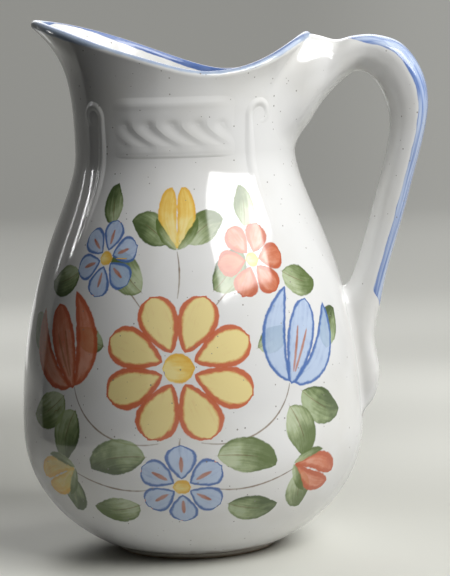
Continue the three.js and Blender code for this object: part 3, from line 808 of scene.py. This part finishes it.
# pigments: wash colour, full colour, and how far the full colour gathers at the edge, one side and the tip
# (the last number is how wide the gathered edge is, in millimetres)
pigments = {
    "leaf": (linear(186, 200, 154), linear(90, 110, 50), (0.2, 0.5, 0.7, 2.0)),
    "deepLeaf": (linear(164, 182, 128), linear(70, 90, 40), (0.25, 0.6, 0.5, 2.2)),
    "stem": (linear(134, 110, 74), linear(100, 72, 46), (0.2, 0.2, 0.4, 0.6)),
    "orange": (linear(224, 142, 104), linear(192, 92, 54), (0.85, 0.35, 0.35, 3.0)),
    "sunny": (linear(244, 222, 134), linear(206, 106, 66), (1.3, 0.0, 0.0, 3.6)),
    "blue": (linear(182, 203, 232), linear(82, 116, 178), (1.1, 0.1, 0.1, 2.2)),
    "yellow": (linear(248, 226, 130), linear(232, 180, 60), (0.4, 0.25, 0.5, 2.4)),
    "brown": (linear(190, 122, 86), linear(160, 86, 52), (0.2, 0.1, 0.3, 0.6)),
}
pigmentNames = list(pigments)
brushHabits = {
    "layers": 8, "points": 25, "shade": (0.15, 0.7, 0.618), "clear": 2.4, "tail": 4.0, "widest": 4.0,
    "edgeWander": 0.9, "wanderReach": 1.4, "wanderSpacing": 2.6, "overrun": 0.15, "softness": 0.55,
    "pooled": 0.25, "leastPool": 0.05, "leastHalf": 0.2, "tip": (0.1, 0.85), "streak": 0.6,
    "hairs": (0.9, 2.0, 90), "blot": 0.7, "blotSpacing": 5.0,
    "washCover": 0.82, "fullCover": 0.97, "fullFrom": 0.55,
    "leafLean": 0.85, "leafBlunt": 0.68, "petalWidest": 0.62, "petalRoot": 0.28, "lineEnds": 0.6,
    "stemHalf": 0.5, "leafVeinHalf": 0.32, "petalVeinHalf": 0.8,
}
brush = named(brushHabits)
sprayPlace = {"middle": 88.0, "scaleRadius": 70.0}
strokes = []


# share of a stroke's half width along it
def widthOf(form, u):
    if form == "leaf":
        return np.sin(np.pi * np.clip(u, 0, 1) ** brush.leafLean) ** brush.leafBlunt
    if form == "petal":
        widest, root = brush.petalWidest, brush.petalRoot
        tip = np.sqrt(np.clip(1 - ((u - widest) / (1 - widest)) ** 2, 0, 1))
        return np.where(u < widest, root + (1 - root) * np.sin(np.pi / 2 * u / widest), tip)
    if form == "dot":
        return np.sqrt(np.clip(1 - (2 * u - 1) ** 2, 0, 1))
    return lerp(brush.lineEnds, 1, np.sin(np.pi * u))


# one brush stroke: a centre line with a half width all along it, run on past both ends at nothing
def stroke(points, half, pigment, form):
    p = np.asarray(points, float)
    if len(p) == 2:
        p = (p[0], lerp(p[0], p[1], 1 / 3), lerp(p[0], p[1], 2 / 3), p[1])
    if len(p) == 3:
        p = (p[0], lerp(p[0], p[1], 2 / 3), lerp(p[2], p[1], 2 / 3), p[2])
    u = np.linspace(0, 1, brush.points)
    line = bezier(p, u)
    tail = brush.tail
    start, end = unit(line[0] - line[1]) * tail, unit(line[-1] - line[-2]) * tail
    line = np.vstack([line[0] + start, line, line[-1] + end])
    widths = np.concatenate([[-tail], half * widthOf(form, u), [-tail]])
    low, span, stride = brush.shade
    shade = low + span * (len(strokes) * stride % 1)  # sets each stroke's own streaks
    strokes.append((line, widths, pigmentNames.index(pigment) + shade))


# places by distance ahead and aside; the flowers below are drawn in shares of their length or radius
def placed(x, y, heading):
    turn = math.radians(heading)
    ahead, aside = np.array([math.cos(turn), math.sin(turn)]), np.array([-math.sin(turn), math.cos(turn)])
    return lambda forward, sideways: np.array([x, y]) + forward * ahead + sideways * aside


def stem(*points):
    stroke(points, brush.stemHalf, "stem", "line")


def leaf(x, y, heading, length, half, bend, pigment):
    at = placed(x, y, heading)
    bow = bend * length
    stroke([at(0, 0), at(length * 0.35, bow), at(length * 0.75, bow), at(length, 0)], half, pigment, "leaf")
    stroke([at(-1, 0), at(length * 0.3, bow * 0.7), at(length * 0.66, bow * 0.72)],
           brush.leafVeinHalf, "stem", "line")


def daisy(x, y, radius, petals, pigment, heart, turn, vein=None):
    half = radius * 0.72 * math.sin(math.pi / petals)
    for k in [*range(0, petals, 2), *range(1, petals, 2)]:
        at = placed(x, y, turn + 360 * k / petals)
        stroke([at(radius * 0.26, 0), at(radius, 0)], half, pigment, "petal")
        if vein:
            stroke([at(radius * 0.38, 0), at(radius * 0.74, 0)], half * 0.16, vein, "line")
    stroke([(x - radius * 0.2, y), (x + radius * 0.2, y)], radius * 0.2, heart, "dot")


def tulip(x, y, heading, length, pigment, vein):
    at = placed(x, y, heading)
    for side in (-1, 1):
        stroke([at(0, side), at(length * 0.25, side * length * 0.42), at(length * 0.65, side * length * 0.4),
                at(length, side * length * 0.3)], length * 0.15, pigment, "leaf")
    stroke([at(0.5, 0), at(length * 0.95, 0)], length * 0.19, pigment, "petal")
    for side in (-0.4, 0.4):
        stroke([at(length * 0.12, side), at(length * 0.62, side * length * 0.16)],
               brush.petalVeinHalf, vein, "line")


def bud(x, y, heading, length, pigment, cup):
    at = placed(x, y, heading)
    for side in (-1, 1):
        stroke([at(0, 0), at(length * 0.5, side * length * 0.34), at(length, side * length * 0.1)],
               length * 0.2, pigment, "petal")
    for side in (-1, 1):
        stroke([at(-1.5, 0), at(length * 0.2, side * length * 0.36), at(length * 0.5, side * length * 0.42)],
               length * 0.09, cup, "leaf")


# the spray: one large daisy, a tulip on either hand, and smaller blooms and buds above and below
def paintSpray():
    for points in (
        ((-6, -30), (-24, -34), (-40, -24), (-44, -8)), ((10, -30), (28, -34), (44, -24), (48, -8)),
        ((2, -28), (1, -32), (2, -36)), ((-14, 26), (-20, 34), (-28, 40)), ((18, 26), (24, 33), (32, 38)),
        ((2, 30), (4, 40), (2, 50)), ((-10, -50), (-24, -54), (-46, -44)), ((14, -50), (30, -54), (50, -44)),
    ):
        stem(*points)
    for x, y, heading, length, half, bend, pigment in (
        (-14, 33, 126, 23, 7.4, 0.14, "leaf"), (18, 33, 54, 23, 7.4, -0.14, "deepLeaf"),
        (-3, 53, 152, 22, 7.0, -0.15, "deepLeaf"), (7, 53, 28, 22, 7.0, 0.15, "leaf"),
        (-49, 41, 196, 20, 7.0, 0.15, "deepLeaf"), (53, 39, -16, 20, 7.0, -0.15, "leaf"),
        (-33, 62, 94, 18, 6.4, 0.15, "deepLeaf"), (37, 60, 86, 18, 6.4, -0.15, "leaf"),
        (-50, -12, 206, 24, 7.8, 0.15, "leaf"), (-43, -18, 254, 23, 7.4, -0.15, "deepLeaf"),
        (54, -12, -26, 24, 7.8, -0.15, "deepLeaf"), (47, -18, -74, 23, 7.4, 0.15, "leaf"),
        (-12, -36, 194, 25, 7.8, -0.15, "deepLeaf"), (16, -36, -14, 25, 7.8, 0.15, "leaf"),
        (-17, -58, 186, 23, 7.0, 0.16, "leaf"), (21, -58, -6, 23, 7.0, -0.16, "deepLeaf"),
        (-67, 4, 128, 20, 6.8, -0.15, "leaf"), (71, 4, 52, 20, 6.8, 0.15, "deepLeaf"),
        (-49, -46, 256, 19, 6.4, 0.15, "deepLeaf"), (53, -46, -76, 19, 6.4, -0.15, "leaf"),
        (-30, 10, 150, 15, 5.4, 0.15, "deepLeaf"), (35, 8, 34, 15, 5.4, -0.15, "leaf"),
    ):
        leaf(x, y, heading, length, half, bend, pigment)
    daisy(2, 1, 32, 8, "sunny", "yellow", 22)
    tulip(49, -8, 68, 39, "blue", "brown")
    tulip(-45, -8, 112, 39, "orange", "brown")
    daisy(-34, 47, 17, 6, "blue", "yellow", 20, vein="brown")
    daisy(38, 45, 17, 6, "orange", "yellow", 5)
    daisy(2, -49, 18, 6, "blue", "yellow", 30, vein="brown")
    bud(2, 52, 90, 26, "yellow", "leaf")
    bud(50, -43, -22, 23, "orange", "leaf")
    bud(-46, -43, 202, 23, "yellow", "leaf")


# how far each point is across a stroke, the stroke's half width there, and how far along it
def strokeField(points, line, widths):
    start, run = line[:-1], np.diff(line, axis=0)
    offset = points[:, None] - start[None]
    share = np.clip(np.einsum("mnk,nk->mn", offset, run) / np.einsum("nk,nk->n", run, run), 0, 1)
    gap = np.linalg.norm(offset - share[..., None] * run, axis=2)
    best = gap.argmin(axis=1)
    pick = np.arange(len(points)), best
    side = np.sign(run[best, 0] * offset[pick][:, 1] - run[best, 1] * offset[pick][:, 0])
    half = lerp(widths[best], widths[best + 1], share[pick])
    return side * gap[pick], half, (best + share[pick]) / len(run)


# lays the strokes into layers, each later stroke above the strokes that it crosses
def layStrokes():
    outer = (ringOf >= outerFrom) & (ringOf < rimFrom)
    places = vertexArray(bodyMesh) / mm
    height = np.interp(places[:, 2], belowNeck[:, 1], belowNeckRun)
    height = height - np.interp(sprayPlace["middle"], belowNeck[:, 1], belowNeckRun)
    layers = np.zeros((brush.layers, len(places), 4))
    layers[:, :, 1] = -brush.tail
    taken, filled = np.zeros((2, brush.layers, len(places)), bool)
    spilled = 0
    for middle in (nearSide, farSide):
        turned = np.arctan2(np.sin(spunAngle - middle), np.cos(spunAngle - middle))
        plane = np.stack([turned * sprayPlace["scaleRadius"], height], axis=1)
        for line, widths, pigment in strokes:
            reach = widths.max() + brush.clear
            low, high = line.min(axis=0) - reach, line.max(axis=0) + reach
            near = np.flatnonzero(outer & np.all((plane > low) & (plane < high), axis=1))
            across, half, along = strokeField(plane[near], line, widths)
            keep = half - np.abs(across) > -brush.clear
            touched, inside = near[keep], near[half - np.abs(across) > 0]
            level = max((k + 1 for k in range(brush.layers) if filled[k, inside].any()), default=0)
            while level < brush.layers and taken[level, touched].any():
                level += 1
            if level == brush.layers:
                spilled += 1
                continue
            marks = np.stack([across, half, along, np.full(len(near), pigment)], axis=1)
            layers[level, touched] = marks[keep]
            taken[level, touched] = True
            filled[level, inside] = True
    for k, layer in enumerate(layers):
        addAttribute(bodyMesh, f"stroke{k}", layer, "FLOAT_COLOR")
    used = taken.any(axis=1).sum()
    print("stage 5:", len(strokes), "strokes a side,", used, "layers,", spilled, "left out")


paintSpray()
layStrokes()


def sprayPaint(spot, colour):
    def ramp(place, part):
        stops = [(i / len(pigments), pigments[name][part]) for i, name in enumerate(pigmentNames)]
        if part == 2:
            stops = [(at, habit[:3] + (habit[3] / brush.widest,)) for at, habit in stops]
        return spot.node("ShaderNodeValToRGB", {"stops": stops}, {"Fac": place})

    wander = spot.noise(scaleOf(brush.wanderSpacing)) - 0.5
    blot = spot.noise(scaleOf(brush.blotSpacing), 3.0) - 0.5
    hairAcross, hairAlong, hairShift = brush.hairs
    for k in range(brush.layers):
        mark = spot.attribute(f"stroke{k}", "Color")
        across = mark.channel("Red")
        half, along = across.other("Green"), across.other("Blue")
        pigment = mark.other("Alpha") / len(pigments)
        depth = half - abs(across) + wander * half.least(brush.wanderReach).most(0.0) * brush.edgeWander
        cover = depth.between(-brush.overrun, brush.softness)
        habit = ramp(pigment, 2)
        atEdge = habit.channel("Red")
        streak = spot.streaks(across * hairAcross, along * hairAlong, pigment * hairShift)
        pooled = depth / (habit.other("Alpha") * brush.widest).most(brush.leastPool)
        load = atEdge * (1 - pooled.between(brush.pooled, 1.0))
        load = load + atEdge.other("Green") * (across / half.most(brush.leastHalf) * 0.5 + 0.5)
        load = load + atEdge.other("Blue") * along.between(*brush.tip)
        load = (load + streak * brush.streak + blot * brush.blot).between(0.0, 1.0)
        ink = load.blend(ramp(pigment, 0), ramp(pigment, 1))
        strength = brush.washCover + (brush.fullCover - brush.washCover) * load.between(0.0, brush.fullFrom)
        colour = (cover * strength).blend(colour, ink)
    return rimPaint(spot, colour)


# blue line drawn over the rim: deep along the top and inside, thin and pale outside, widest at the lip, with
# painted light making it paler at the lip's tip
rimLine = {
    "outside": -2.5, "outsideAtLip": -4.6, "outsideSoft": 1.2,
    "inside": 4.8, "insideAtLip": 3.2, "insideSoft": 0.5,
    "lipEnd": -58.0, "lipStart": -20.0, "lipTone": 0.45, "tipFrom": -63.0, "tipTo": -57.0, "tipDepth": 9.0,
    "tipPale": 0.8, "wander": 1.3, "wanderScale": 160.0, "toneRun": 1.6, "toneWander": 0.5, "cover": 0.95,
    "pale": linear(168, 184, 206), "deep": linear(66, 100, 164),
}


def rimPaint(spot, colour):
    r = named(rimLine)
    wander = spot.noise(r.wanderScale) - 0.5
    shifted = spot.attribute("rimRun") + wander * r.wander
    fromLip = spot.axis("X") / mm
    behind = fromLip.between(r.lipEnd, r.lipStart)
    tip = 1 - fromLip.between(r.tipFrom, r.tipTo)
    inside = r.insideAtLip + (r.inside - r.insideAtLip) * behind + tip * r.tipDepth
    outside = r.outsideAtLip + (r.outside - r.outsideAtLip) * behind
    cover = (shifted - outside).between(0.0, r.outsideSoft)
    cover = cover * (1 - (shifted - inside).between(-r.insideSoft, 0.0))
    tone = shifted.between(-r.toneRun, r.toneRun) + wander * r.toneWander
    tone = tone * (r.lipTone + (1 - r.lipTone) * behind.most(shifted.between(0.0, 1.0)))
    # painted light: the blue is paler on the lip's upturned tip, where light falls on it
    tone = tone * (1 - tip * r.tipPale)
    return (cover * r.cover).blend(colour, tone.blend(r.pale, r.deep))


# blue stroke down the back of the handle
stripe = {
    "halfTurn": 1.14, "begin": 2.25, "beginRun": 1.8, "beginShare": 0.2, "beginSoft": 0.15,
    "end": 10.1, "endRun": 0.8, "endNarrowing": 0.7, "endSoft": 0.12, "edge": (-0.02, 0.05), "cover": 0.95,
    "wander": 0.16, "wanderScale": 130.0, "hairs": (5.0, 0.8, 160), "streak": 2.2, "tone": 0.42,
    "edgeTone": 0.25, "edgeRun": 0.2, "pale": linear(190, 206, 232), "deep": linear(84, 118, 184),
}


def stripePaint(spot, colour):
    s = named(stripe)
    turn, run = spot.attribute("spineTurn"), spot.attribute("spineRun")
    wander = spot.noise(s.wanderScale, 3.0) - 0.5
    hairTurn, hairRun, hairSideways = s.hairs
    streak = spot.streaks(turn * hairTurn, run * hairRun, spot.axis("Y") * hairSideways)
    opened = s.beginShare + (1 - s.beginShare) * run.between(s.begin, s.begin + s.beginRun)
    width = s.halfTurn * opened * (1 - run.between(s.end - s.endRun, s.end) * s.endNarrowing)
    depth = width - turn + wander * s.wander
    cover = depth.between(*s.edge) * run.between(s.begin, s.begin + s.beginSoft)
    cover = cover * (1 - run.between(s.end - s.endSoft, s.end))
    tone = s.tone + streak * s.streak + (1 - depth.between(0.0, s.edgeRun)) * s.edgeTone
    ink = tone.between(0.0, 1.0).blend(s.pale, s.deep)
    return rimPaint(spot, (cover * s.cover).blend(colour, ink))


bodyGlaze = glazeMaterial("bodyGlaze", sprayPaint)
handleGlaze = glazeMaterial("handleGlaze", stripePaint)
reliefGlaze = glazeMaterial("reliefGlaze")
newPiece("pitcherBody", bodyMesh, bodyGlaze, "body")
newPiece("pitcherHandle", handlePieceMesh, handleGlaze, "handle")
newPiece("pitcherFoot", footPieceMesh, clayMaterial(), "foot")
for name, mesh in reliefMeshes.items():
    newPiece("relief_" + name, mesh, reliefGlaze, name)
print("stage 6: pieces placed")

# camera at the photograph's angle
cameraPlace = {
    "azimuth": 6.0, "distance": 1.0, "height": 0.222, "aim": (0, 0, 0.105), "roll": 1.8,
    "aimPixel": (190, 309), "picture": (450, 576), "focalPixels": 2272, "sensor": 36.0,
}


def addCamera():
    c = named(cameraPlace)
    turn = math.radians(c.azimuth)
    eye = Vector((c.distance * math.sin(turn), -c.distance * math.cos(turn), c.height))
    ahead = (Vector(c.aim) - eye).normalized()
    right = ahead.cross(Vector((0, 0, 1))).normalized()
    up = right.cross(ahead)
    roll = math.radians(c.roll)
    right, up = right * math.cos(roll) - up * math.sin(roll), right * math.sin(roll) + up * math.cos(roll)
    # the picture's centre is a little off the aim, so the camera turns towards it
    wide, tall = c.picture
    aimX, aimY = c.aimPixel
    ahead = ahead * c.focalPixels + right * (wide / 2 - aimX) + up * (aimY - tall / 2)
    ahead.normalize()
    right = (right - ahead * right.dot(ahead)).normalized()
    up = right.cross(ahead)
    camera = newObject("photoCamera", bpy.data.cameras.new("photoCamera"))
    camera.data.sensor_width = c.sensor
    camera.data.lens = c.focalPixels * c.sensor / max(wide, tall)
    turned = Matrix((right, up, -ahead)).transposed()
    camera.matrix_world = Matrix.Translation(eye) @ turned.to_4x4()
    bpy.context.scene.camera = camera


addCamera()

# studio: a pale sweep that carries painted light, soft boxes on the right and far behind, three small lamps
# that only the glaze shows, a dark card on the left and a dim room
studio = {
    "sweepColour": linear(201, 201, 193), "sweepGlow": linear(166, 166, 162), "paperRoughness": 0.9,
    "sweepFront": -3.0, "sweepBack": 2.4, "sweepBend": 0.5, "bendSteps": 24,
    "sweepTop": 2.4, "sweepHalf": 3.0,
    "glowLeft": -0.1, "glowRight": 0.14, "backSlant": 0.2, "sideFrom": 0.45, "sideTo": 0.9,
    "contact": (-0.002, -0.035, 0.0), "contactFrom": 0.04, "contactTo": 0.07,
    "farFrom": 0.6, "farTo": 1.0, "farGlow": 0.52,
    # where a band of painted light begins, is full, begins to fall and ends behind the pitcher, and its
    # strength
    "backGlow": (0.3, 0.55, 0.7, 1.02, 0.6), "farRightGlow": (0.9, 1.6, 8.0, 9.0, 0.16),
    "rightGlow": (0.05, 0.25, 0.4, 0.6, 0.46), "leftGlow": (-0.5, -0.4, 0.03, 0.12, 0.4),
    "bounceNear": linear(206, 206, 203), "bounceFar": linear(24, 24, 24),
    "nearRadius": 0.08, "farRadius": 0.25,
    "roomLight": (0.0083, 0.0083, 0.0086, 1), "roomSeen": linear(146, 146, 142),
    "cardPlace": (-0.34, -0.36, 0.45), "cardSize": (0.9, 0.9), "cardColour": linear(36, 36, 36),
    "lampAim": (0.0, 0.0, 0.13), "onlyGloss": ("stripBox", "threadBox", "edgeBox"),
}
# turn from the front, rise and spread in degrees, then distance, width and height in metres, and watts
lamps = {
    "keyBox": (51.5, 36.0, 180.0, 0.95, 0.7, 0.46, 8.5),
    "overBox": (98.0, 49.0, 180.0, 1.3, 1.2, 1.0, 9.8),
    "rearBox": (-172.0, 26.0, 50.0, 2.1, 2.0, 1.8, 2.5),
    "stripBox": (-98.2, 22.5, 180.0, 0.306, 0.006, 0.08, 0.028),
    "threadBox": (-117.5, 13.0, 180.0, 0.7, 0.01, 0.1, 0.026),
    "edgeBox": (-158.0, -7.0, 180.0, 0.6, 0.3, 0.075, 0.04),
}


# the sweep's paper: painted light that only the camera and the glaze see lifts it to the background's
# brightness, more on the right and behind, and stays off round the foot so the cast shadow there stays dark;
# for light on its way round the room the paper is pale near the foot and dark farther off
def paperMaterial():
    s = named(studio)
    material, spot = newMaterial("sweepPaper")
    away, fromFoot = spot.distance((0, 0, 0)), spot.distance(s.contact)
    behind = spot.axis("Y")
    seen = spot.seen()
    bounce = away.between(s.nearRadius, s.farRadius).blend(s.bounceNear, s.bounceFar)
    sideways = behind.other("X").between(s.glowLeft, s.glowRight)
    inView = 1 - abs(behind.other("X")).between(s.sideFrom, s.sideTo)

    def strip(rise, full, fall, end, strength):
        return behind.between(rise, full) * (1 - behind.between(fall, end)) * strength

    # painted light in bands behind and on the right, and on the left where the pitcher's shadow falls, but
    # not round the foot
    paintedLight = strip(*s.backGlow) * (1 - sideways * s.backSlant) + strip(*s.rightGlow) * sideways
    paintedLight = paintedLight + strip(*s.leftGlow) * (1 - sideways) * fromFoot.between(s.contactFrom, s.contactTo)
    paintedLight = (paintedLight + strip(*s.farRightGlow) * sideways) * inView
    paintedLight = (seen * (paintedLight + away.between(s.farFrom, s.farTo) * s.farGlow)).least(1.0)
    spot.surface({
        "Base Color": seen.blend(bounce, s.sweepColour), "Roughness": s.paperRoughness,
        "Emission Color": paintedLight.blend((0, 0, 0, 1), s.sweepGlow), "Emission Strength": 1.0})
    return material


def addSweep():
    s = named(studio)
    bm = bmesh.new()
    line = [(s.sweepFront, 0), (s.sweepBack - s.sweepBend, 0)]
    line += [(s.sweepBack - s.sweepBend * (1 - math.sin(t)), s.sweepBend * (1 - math.cos(t)))
             for t in np.linspace(0, math.pi / 2, s.bendSteps)[1:]]
    line.append((s.sweepBack, s.sweepTop))
    row = [bm.verts.new((-s.sweepHalf, y, z)) for y, z in line]
    edges = [bm.edges.new(pair) for pair in zip(row, row[1:])]
    grown = bmesh.ops.extrude_edge_only(bm, edges=edges)["geom"]
    bmesh.ops.translate(bm, verts=[v for v in grown if isinstance(v, bmesh.types.BMVert)],
                        vec=(2 * s.sweepHalf, 0, 0))
    bmesh.ops.recalc_face_normals(bm, faces=bm.faces)
    if sum(f.normal.z for f in bm.faces) < 0:
        bmesh.ops.reverse_faces(bm, faces=bm.faces)
    sweep = newObject("sweep", newMesh("sweep", bm))
    sweep.data.materials.append(paperMaterial())


def addCard():
    s = named(studio)
    wide, tall = s.cardSize
    bm = bmesh.new()
    bmesh.ops.create_grid(bm, x_segments=1, y_segments=1, size=0.5)
    bmesh.ops.scale(bm, verts=bm.verts, vec=(tall, wide, 1))
    bmesh.ops.rotate(bm, verts=bm.verts, cent=(0, 0, 0), matrix=Matrix.Rotation(math.pi / 2, 3, "Y"))
    bmesh.ops.translate(bm, verts=bm.verts, vec=s.cardPlace)
    card = newObject("darkCard", newMesh("darkCard", bm))
    material, spot = newMaterial("cardPaper")
    spot.surface({"Base Color": s.cardColour, "Roughness": s.paperRoughness})
    card.data.materials.append(material)
    card.visible_camera = False
    card.visible_shadow = False


def addSoftBox(name, turn, rise, spread, distance, width, height, power):
    turn, rise = math.radians(turn), math.radians(rise)
    towards = Vector((math.sin(turn) * math.cos(rise), -math.cos(turn) * math.cos(rise), math.sin(rise)))
    data = bpy.data.lights.new(name, "AREA")
    data.shape = "RECTANGLE"
    data.size, data.size_y, data.energy = width, height, power
    data.spread = math.radians(spread)
    lamp = newObject(name, data)
    lamp.location = Vector(studio["lampAim"]) + towards * distance
    lamp.rotation_euler = towards.to_track_quat("Z", "Y").to_euler()
    lamp.visible_diffuse = name not in studio["onlyGloss"]
    lamp.visible_camera = False


def addRoom():
    world = bpy.data.worlds.new("room")
    world.use_nodes = True
    bpy.context.scene.world = world
    world.node_tree.nodes.clear()
    start = Wire(world.node_tree)
    colour = start.seen().blend(studio["roomLight"], studio["roomSeen"])
    light = start.node("ShaderNodeBackground", {}, {"Color": colour})
    start.node("ShaderNodeOutputWorld", {}, {"Surface": light})


addSweep()
addCard()
for name, settings in lamps.items():
    addSoftBox(name, *settings)
addRoom()
bpy.context.scene.view_settings.view_transform = "Standard"
print("stage 7: camera and lights")
